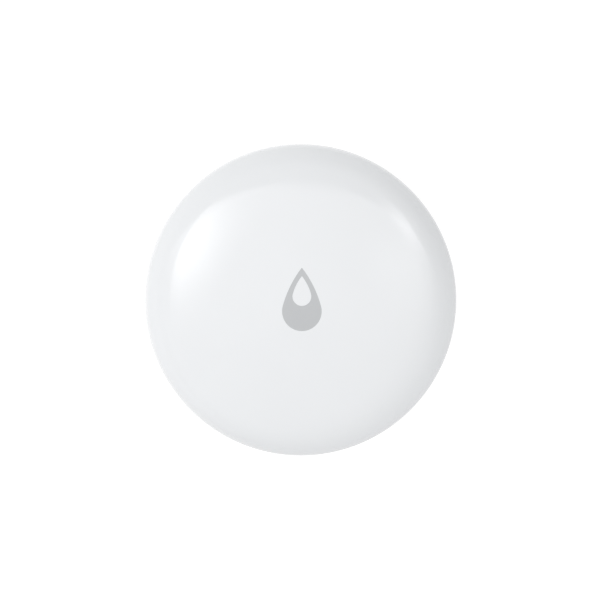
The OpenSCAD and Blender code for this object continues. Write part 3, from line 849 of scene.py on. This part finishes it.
def make_board_screws():
    """Three pan-head screws with cross recesses and pointed threads."""
    low, high = box_mm("board_screws")
    head_r, shank_r, pitch = 1.3, 0.6, 0.5
    head = rounded([(0, high.z, 0), (0.7, high.z, 0.3), (head_r, high.z - 0.25, 0.25),
                    (head_r, BOARD_TOP, 0.06), (0.45, BOARD_TOP, 0)])
    shank = shank_rows(shank_r, BOARD_TOP - 0.1, low.z + 0.7, pitch)
    profile = head + shank + [(0.4 * MM, (low.z + 0.4) * MM), (0, low.z * MM)]
    screw = build("screw", add_lathe, profile, 48, thread(shank_r * MM, pitch * MM, 0.14 * MM))
    recess = build("recess", add_cross, head_r * 1.3, 0.35, high.z - 0.35, high.z + 0.5)
    out = shift(-low.y - head_r)
    places = [spin(turn) @ out for turn in SCREW_TURNS]
    return copies("board_screw_set", merge(screw, recess, "DIFFERENCE"), places)


def make_probe_nut(name, node):
    """Turned nut with two knurled bands, a bore for the screw and a neck through the board."""
    low, high = box_mm(node)
    r, neck_r, bore_r = (high.x - low.x) / 2, 0.9, 1.05
    shoulder = BOARD_LOW
    waist = (low.z + shoulder) / 2
    band = r - 0.12
    corners = [(0, high.z, 0), (neck_r, high.z, 0.12), (neck_r, shoulder, 0), (band, shoulder, 0.05)]
    for top, bottom in ((shoulder - 0.3, waist + 0.35), (waist - 0.35, low.z + 0.3)):
        corners += [(band, top + 0.1, 0), (r, top, 0), (r, bottom, 0), (band, bottom - 0.1, 0)]
        if bottom > waist:
            corners += [(band - 0.15, bottom - 0.2, 0.05), (band - 0.15, waist - 0.15, 0.05)]
    corners += [(band, low.z, 0.05), (bore_r + 0.12, low.z, 0), (bore_r, low.z + 0.12, 0),
                (bore_r, high.z - 1.9, 0), (0, high.z - 1.7, 0)]
    teeth, tooth = 40, 0.1 * MM

    def knurl(reach, z, turn):
        """Fine teeth on the rows of the full radius."""
        if abs(reach - r * MM) > TINY:
            return reach
        return reach - tooth * (1 + cos(teeth * turn)) / 2

    nut = build("nut", add_lathe, rounded(corners), AROUND, knurl)
    return copies(name, nut, [shift((low.x + high.x) / 2)])


dress(make_board_screws(), "base", "screw_steel", "board_screws")
for side in ("left", "right"):
    screw = make_probe_screw("probe_bolt_" + side, "probe_screw_" + side)
    dress(screw, "base", "screw_steel", "probe_screw_" + side)
    nut = make_probe_nut("probe_insert_" + side, "probe_nut_" + side)
    dress(nut, "base", "nut_brass", "probe_nut_" + side)


# Small parts on the board, in millimetres

LENS_LOW = BOARD_TOP + 0.4
LEAD_PITCH, LEADS = 0.6, 8
ROW_COUNT, ROW_DEPTH = 6, 0.5
SMALL_ROWS = ("chip_capacitors", "chip_resistors")


def plan(node):
    """Middle and size of a node in plan, and its top."""
    low, high = box_mm(node)
    middle = (low + high) / 2
    size = high - low
    return middle.x, middle.y, size.x, size.y, high.z


def row_spots(node):
    """Middles of the small parts of a row."""
    x, y, _, size_y, _ = plan(node)
    step = (size_y - ROW_DEPTH) / (ROW_COUNT - 1)
    return [(x, y + step * (i - (ROW_COUNT - 1) / 2)) for i in range(ROW_COUNT)]


def chip_sides():
    """Contacts of the radio chip: spot, whether their side runs along X, and the way it faces."""
    x, y, size_x, size_y, _ = plan("radio_chip")
    spots = []
    for i in range(LEADS):
        step = LEAD_PITCH * (i - (LEADS - 1) / 2)
        for side in (-1, 1):
            spots.append((x + step, y + side * size_y / 2, True, side))
            spots.append((x + side * size_x / 2, y + step, False, side))
    return spots


def add_bodies(mesh, node):
    """Ceramic bodies of a row of small parts."""
    top = plan(node)[4]
    for x, y in row_spots(node):
        add_stack(mesh, block(0.6, 0.46, BOARD_TOP + 0.02, top - 0.02, 0.04), x, y)


def add_ends(mesh, node):
    """Plated ends of a row of small parts."""
    top = plan(node)[4]
    for x, y in row_spots(node):
        for side in (-1, 1):
            add_stack(mesh, block(0.24, ROW_DEPTH, BOARD_TOP, top, 0.05), x + side * 0.38, y)


def add_leads(mesh):
    """Side contacts of the radio chip, a hair proud of its body."""
    for x, y, along_x, _ in chip_sides():
        size = (0.26, 0.06) if along_x else (0.06, 0.26)
        add_stack(mesh, block(*size, BOARD_TOP, BOARD_TOP + 0.22, 0.015), x, y)


def make_crystal():
    """Sealed can of the crystal: a flange and a lid with rounded edges."""
    x, y, size_x, size_y, top = plan("crystal")
    brim, brim_top, corner, edge = 0.25, BOARD_TOP + 0.25, 0.3, 0.15
    levels = block(size_x, size_y, BOARD_TOP, brim_top, 0.05)
    levels += [(size_x / 2 - brim, size_y / 2 - brim, corner, brim_top)]
    for out, up in arc((0, 0), edge, 90, 0, 5):
        cut = brim + edge - out
        levels.append((size_x / 2 - cut, size_y / 2 - cut, corner, top - edge + up))
    return build("crystal_can", add_stack, levels, x, y)


def make_lamp_foot():
    """White foot of the status lamp."""
    x, y, _, size_y, _ = plan("status_led")
    return build("lamp_foot", add_stack, block(1.5, size_y, BOARD_TOP, LENS_LOW, 0.04), x, y)


def make_lens():
    """Clear lens of the status lamp, with a domed top."""
    x, y, _, _, top = plan("status_led")
    levels = [(0.65, 0.55, 0.08, LENS_LOW), (0.63, 0.53, 0.1, top - 0.15)]
    levels += [(0.58, 0.48, 0.14, top - 0.06), (0.48, 0.38, 0.18, top - 0.015), (0.3, 0.22, 0.15, top)]
    return build("lamp_lens", add_stack, levels, x, y)


def add_lamp_ends(mesh):
    """Gold ends of the status lamp."""
    x, y, size_x, size_y, _ = plan("status_led")
    end = 0.3
    for side in (-1, 1):
        levels = block(end, size_y - 0.1, BOARD_TOP, BOARD_TOP + 0.34, 0.03)
        add_stack(mesh, levels, x + side * (size_x - end) / 2, y)


for node, kind, slot in zip(SMALL_ROWS, ("capacitor", "resistor"), ("capacitor_resin", "chip_resin")):
    dress(build(kind + "_bodies", add_bodies, node), "base", slot, node)
    dress(build(kind + "_ends", add_ends, node), "base", "screw_steel", material=TIN)
dress(build("chip_leads", add_leads), "base", "screw_steel", material=TIN)
dress(make_crystal(), "base", "cell_steel", "crystal", material=STEEL)
dress(make_lamp_foot(), "base", "cell_insulator")
dress(make_lens(), "base", "lamp_resin", "status_led")
dress(build("lamp_ends", add_lamp_ends), "base", "contact_bronze")


# Copper, solder and ink on the board, in millimetres

PAD_TOP = BOARD_TOP + 0.03
SUNK = BOARD_TOP - 0.02
BEND_Y, TEST_PAD_Y = -6, -12
TRACE_WIDTH, INK_WIDTH = 0.22, 0.12
INK_FRAMES = {
    "switch_case": (6.5, 6.5), "radio_chip": (7.6, 7.6), "crystal": (4.0, 3.2),
    "status_led": (2.9, 1.8), "chip_capacitors": (1.9, 8.6), "chip_resistors": (1.9, 8.6),
}


def add_pads(mesh):
    """Gold pads under the ends and contacts of the parts."""
    spots = []
    for node in SMALL_ROWS:
        spots += [(x + side * 0.52, y, 0.5, 0.62) for x, y in row_spots(node) for side in (-1, 1)]
    spots += [(side * (FOOT_X - 0.25), y, 1.5, 1.1) for side in (-1, 1) for y in (-FOOT_Y, FOOT_Y)]
    x, y, _, size_y, _ = plan("status_led")
    spots += [(x + side * 1.0, y, 0.6, size_y + 0.1) for side in (-1, 1)]
    x, y = plan("crystal")[:2]
    spots += [(x + a * 1.25, y + b * 0.95, 1.0, 0.9) for a in (-1, 1) for b in (-1, 1)]
    for x, y, along_x, side in chip_sides():
        spots.append((x, y + side * 0.18, 0.32, 0.6) if along_x else (x + side * 0.18, y, 0.6, 0.32))
    for x, y, size_x, size_y in spots:
        add_stack(mesh, block(size_x, size_y, SUNK, PAD_TOP, 0.02), x, y)


def make_vias():
    """Plated rings at the ends of short traces, and along the rim where it is free."""
    rim_r = plan("circuit_board")[2] / 2 - 0.9
    spots = [line[-1] for line in trace_lines() if line[-1][1] != TEST_PAD_Y]
    for turn in range(0, 360, 10):
        near_leg = min(abs((turn - leg + 180) % 360 - 180) for leg in LEG_TURNS) < 15
        near_nut = min(turn % 180, 180 - turn % 180) < 8
        near_antenna = 60 <= turn <= 120
        if not (near_leg or near_nut or near_antenna):
            way = radians(turn)
            spots.append((rim_r * cos(way), rim_r * sin(way)))
    hole, rim = 0.15, 0.35
    ring = rounded([(hole, SUNK, 0), (rim, SUNK, 0), (rim, PAD_TOP, 0.02), (hole, PAD_TOP, 0.02)], 2, True)
    via = build("via", add_lathe, ring, 24)
    return copies("board_vias", via, [shift(*spot) for spot in spots])


def make_test_pads():
    """Round gold pads at the ends of the long traces."""
    disc = rounded([(0, SUNK, 0), (0.6, SUNK, 0), (0.6, PAD_TOP, 0.02), (0, PAD_TOP, 0)], 2)
    spots = [line[-1] for line in trace_lines() if line[-1][1] == TEST_PAD_Y]
    return copies("test_pads", build("pad", add_lathe, disc, 48), [shift(*spot) for spot in spots])


def make_nut_rings():
    """Solder rings round the necks of the probe nuts."""
    x = plan("probe_nut_right")[0]
    profile = rounded([(0.95, SUNK, 0), (1.4, SUNK, 0), (1.4, PAD_TOP, 0), (0.97, BOARD_TOP + 0.12, 0)])
    return copies("nut_solder", build("ring", add_lathe, profile, 64), [shift(-x), shift(x)])


def add_solder(mesh):
    """Solder that climbs the ends of the small parts and the switch's feet."""
    spots = []
    for node in SMALL_ROWS:
        spots += [(x + side * 0.6, y, 0.2, 0.44) for x, y in row_spots(node) for side in (-1, 1)]
    spots += [(side * (FOOT_X + 0.15), y, 0.4, 0.8) for side in (-1, 1) for y in (-FOOT_Y, FOOT_Y)]
    for x, y, size_x, size_y in spots:
        levels = []
        for share, rise in ((1, 0.02), (0.75, 0.06), (0.5, 0.12), (0.25, 0.2)):
            half_y = size_y / 2 * (0.6 + 0.4 * share)
            levels.append((size_x / 2 * share, half_y, 0.06 * share, BOARD_TOP + rise))
        add_stack(mesh, levels, x, y)


def walk(x, y, *steps):
    """Points of a line that starts at a spot and goes on by steps."""
    line = [(x, y)]
    for step_x, step_y in steps:
        line.append((line[-1][0] + step_x, line[-1][1] + step_y))
    return line


def trace_lines():
    """Plan points of the copper lines, with slanted corners, from part to part."""
    chip_x, chip_y, chip_size, _, _ = plan("radio_chip")
    lines = []
    # From the radio chip to the test pads
    for i in range(LEADS // 2):
        x = chip_x + LEAD_PITCH * (i + 0.5)
        aside = 3.5 - i
        start = (x, chip_y - chip_size / 2 - 0.5)
        lines.append([start, (x, BEND_Y), (x - aside, BEND_Y - aside), (x - aside, TEST_PAD_Y)])
    # From the antenna to the radio chip
    lead_x = chip_x + LEAD_PITCH * (LEADS - 1) / 2
    lead_y = chip_y + chip_size / 2 + 0.5
    feed, _ = box_mm("antenna_trace")
    feed_x = feed.x + 0.3
    bend_y = lead_y + 0.3
    lines.append([(feed_x, feed.y + 0.1), (feed_x, bend_y + feed_x - lead_x), (lead_x, bend_y),
                  (lead_x, lead_y)])
    # From the small parts and the lamp to their vias
    for (x, y), (next_x, _) in zip(*map(row_spots, SMALL_ROWS)):
        lines.append(walk(x - 0.6, y, (-0.4, 0), (-0.4, -0.4), (-0.6, 0)))
        lines.append(walk(next_x + 0.6, y, (0.8, 0), (0.6, 0.6), (1.4, 0)))
    x, y = plan("status_led")[:2]
    lines.append(walk(x + 1.2, y, (2.2, 0), (2.2, 2.2), (0, 2.6)))
    lines.append(walk(x - 1.2, y, (-1.2, 0), (-1.2, -1.2), (0, -2.6)))
    return lines


def add_traces(mesh):
    """Copper lines under the mask, and links between the two rows of small parts."""
    links = [[(x + 0.6, y), (next_x - 0.6, y)] for (x, y), (next_x, _) in zip(*map(row_spots, SMALL_ROWS))]
    for line in trace_lines() + links:
        add_trace(mesh, line, TRACE_WIDTH, SUNK, BOARD_TOP + 0.02)


def add_ink(mesh):
    """White outlines round the parts, without lettering."""
    for node, (size_x, size_y) in INK_FRAMES.items():
        x, y = plan(node)[:2]
        line = walk(x - size_x / 2, y - size_y / 2, (size_x, 0), (0, size_y), (-size_x, 0))
        add_trace(mesh, line, INK_WIDTH, SUNK, BOARD_TOP + 0.035, True)


dress(build("board_pads", add_pads), "base", "contact_bronze")
dress(make_vias(), "base", "contact_bronze")
dress(make_nut_rings(), "base", "screw_steel", material=TIN)
dress(build("solder_joints", add_solder), "base", "screw_steel", material=TIN)
dress(build("board_traces", add_traces), "base", "board_laminate", material=TRACE_GREEN)
dress(make_test_pads(), "base", "contact_bronze")
dress(build("board_ink", add_ink), "base", "cell_insulator", material=INK_WHITE)


# Floor, light and camera

IMAGE_WIDTH = 600
OUTLINE_PX = 155.6
OUTLINE_AT = (300.6, 299.7)
CAMERA_LENS = 400
SENSOR = 36
VIEW_LEAN = (1.2, 0.35)
FLOOR_TONE, FLOOR_GLOW, FLOOR_DIM = 0.8, 0.8, 0.32
FLOOR_REACH = 3
FLOOR_SHADE_DEG, FLOOR_SHADES = -38, (-0.2, 0.26)
FILL_LIGHT = 0.605
LAMP_SIZE = (0.9, 0.5)
LAMP_AIM = Vector((0, 0, 0.008))


def grey(level):
    """A grey from 0, black, to 1, white."""
    return (level, level, level, 1)


def split_rays(tree, output, other, seen):
    """Shows seen to rays of the camera, of gloss and through clear pieces, and other to the rest."""
    path = add_node(tree, "LightPath").outputs
    share = calc(tree, "MAXIMUM", path["Is Camera Ray"], path["Is Glossy Ray"])
    share = calc(tree, "MAXIMUM", share, path["Is Transmission Ray"])
    mix = add_node(tree, "MixShader", {0: share, 1: other.outputs[0], 2: seen.outputs[0]})
    tree.links.new(mix.outputs[0], tree.nodes[output].inputs["Surface"])


def make_floor():
    """White floor that keeps the object's shadow. The gloss sees it darker on the far side of the lamps."""
    made, tree, shader = new_material("studio_floor")
    set_inputs(tree, shader, {"Base Color": grey(FLOOR_TONE), "Roughness": 0.9, "Specular IOR Level": 0})
    shade = ease(tree, along(tree, FLOOR_SHADE_DEG, EQUATOR_R), -1, 1, *FLOOR_SHADES)
    shade = product(tree, shade, add_node(tree, "LightPath").outputs["Is Glossy Ray"])
    strength = product(tree, calc(tree, "SUBTRACT", 1, shade), FLOOR_GLOW)
    glow = add_node(tree, "Emission", {"Color": grey(1), "Strength": strength})
    dim = add_node(tree, "BsdfDiffuse", {"Color": grey(FLOOR_DIM)})
    lit = add_node(tree, "AddShader", {0: glow.outputs[0], 1: dim.outputs[0]})
    split_rays(tree, "Material Output", shader, lit)
    mesh = bmesh.new()
    bmesh.ops.create_grid(mesh, x_segments=2, y_segments=2, size=FLOOR_REACH)
    floor = finish_mesh("floor", mesh)
    floor.data.materials.append(made)


def make_world():
    """White to the eye and in reflections, and a dim fill for the rest."""
    world = bpy.data.worlds.new("studio")
    bpy.context.scene.world = world
    world.use_nodes = True
    tree = world.node_tree
    fill = add_node(tree, "Background", {"Color": grey(1), "Strength": FILL_LIGHT})
    white = add_node(tree, "Background", {"Color": grey(1), "Strength": 1})
    split_rays(tree, "World Output", fill, white)


def make_lamp(name, at, size, radiance):
    """An oblong area lamp of the given radiance that faces the object."""
    light = bpy.data.lights.new(name, "AREA")
    light.shape = "RECTANGLE"
    light.size, light.size_y = size
    light.energy = radiance * pi * size[0] * size[1]
    made = new_object(name, light)
    made.location = at
    made.rotation_euler = (LAMP_AIM - Vector(at)).to_track_quat("-Z", "Y").to_euler()
    made.visible_camera = False
    made.visible_glossy = False


SOFTBOX_Z = 0.6
SOFTBOX_REACH = 2.4 * SOFTBOX_Z


def along(tree, turn_deg, unit=SOFTBOX_Z):
    """How far a point lies in a direction, in panel heights or in another unit."""
    turn = radians(turn_deg)
    way = (cos(turn) / unit, sin(turn) / unit, 0)
    return add_node(tree, "VectorMath", {0: place(tree), 1: way}, operation="DOT_PRODUCT").outputs["Value"]


def ease(tree, value, start, stop, low, high):
    """A smooth step from low at start to high at stop."""
    inputs = {"Value": value, "From Min": start, "From Max": stop, "To Min": low, "To Max": high}
    return add_node(tree, "MapRange", inputs, interpolation_type="SMOOTHSTEP").outputs["Result"]


def patch(tree, turn_deg, grows, fades, strength, narrow, aside=0):
    """A bright patch that grows outward, fades to a share and falls off sideways."""
    outward = along(tree, turn_deg)
    start, stop, share = fades
    grown = ease(tree, outward, *grows, 0, strength)
    faded = ease(tree, outward, start, stop, 1, share)
    across = calc(tree, "SUBTRACT", along(tree, turn_deg - 90), aside)
    falls = calc(tree, "EXPONENT", product(tree, across, across, -narrow))
    return product(tree, grown, faded, falls)


def make_softbox():
    """The panel that the gloss reflects: a soft wide light, a hot patch and two weaker ones."""
    made, tree, shader = new_material("softbox_light")
    tree.nodes.remove(shader)
    far = along(tree, 84)
    wide = product(tree, ease(tree, along(tree, 59), -0.9, 0.5, 0.15, 1.3),
                   ease(tree, along(tree, -35), 0.4, 1.1, 1, 0.2), ease(tree, far, 0.58, 0.7, 1, 0))
    hot = patch(tree, 150, grows=(0.36, 0.74), fades=(0.8, 1.2, 0.1), strength=5, narrow=12, aside=-0.04)
    hot = product(tree, hot, ease(tree, far, 0.6, 0.85, 1, 0))
    streak = patch(tree, 30, grows=(0.65, 0.95), fades=(0.98, 1.4, 0.2), strength=2.7, narrow=32, aside=-0.1)
    weak = patch(tree, 20, grows=(0.3, 0.6), fades=(0.7, 1.0, 0.2), strength=0.8, narrow=20)
    total = calc(tree, "ADD", wide, 1)
    for spot in (hot, streak, weak):
        total = calc(tree, "ADD", total, spot)
    glow = add_node(tree, "Emission", {"Strength": total})
    tree.links.new(glow.outputs[0], tree.nodes["Material Output"].inputs["Surface"])
    mesh = bmesh.new()
    bmesh.ops.create_grid(mesh, x_segments=1, y_segments=1, size=SOFTBOX_REACH)
    panel = finish_mesh("softbox", mesh)
    panel.data.materials.append(made)
    panel.location.z = SOFTBOX_Z + RIM_Z
    panel.visible_camera = False
    panel.visible_diffuse = False
    panel.visible_shadow = False


def make_camera():
    """Looks down, leaning a little to -X and -Y, with the dome's outline as photographed."""
    data = bpy.data.cameras.new("camera")
    data.lens = CAMERA_LENS
    data.sensor_width = SENSOR
    data.clip_start = 0.01
    data.clip_end = 50
    pixels = IMAGE_WIDTH * CAMERA_LENS / SENSOR
    cone = atan(OUTLINE_PX / pixels)
    height = (RIM_R + RIM_X * cos(cone)) / sin(cone)
    size = EQUATOR_R / OUTLINE_PX
    aside = (IMAGE_WIDTH / 2 - OUTLINE_AT[0]) * size
    up = (OUTLINE_AT[1] - IMAGE_WIDTH / 2) * size
    lean = (Matrix.Rotation(radians(-VIEW_LEAN[0]), 4, "Y")
            @ Matrix.Rotation(radians(VIEW_LEAN[1]), 4, "X"))
    made = new_object("camera", data)
    made.matrix_world = Matrix.Translation((0, 0, RIM_Z)) @ lean @ Matrix.Translation((aside, up, height))
    bpy.context.scene.camera = made


make_floor()
make_world()
make_softbox()
make_lamp("top_light", (-0.02, -0.07, 0.7), (1.0, 1.0), 0.565)
make_lamp("left_light", (-0.74, 0, 0.52), LAMP_SIZE, 0.8)
make_lamp("low_left_light", (-0.78, 0.38, 0.23), LAMP_SIZE, 0.78)
make_lamp("low_front_light", (0.5, -0.72, 0.23), LAMP_SIZE, 0.4)
make_camera()
bpy.context.scene.view_settings.view_transform = "Standard"
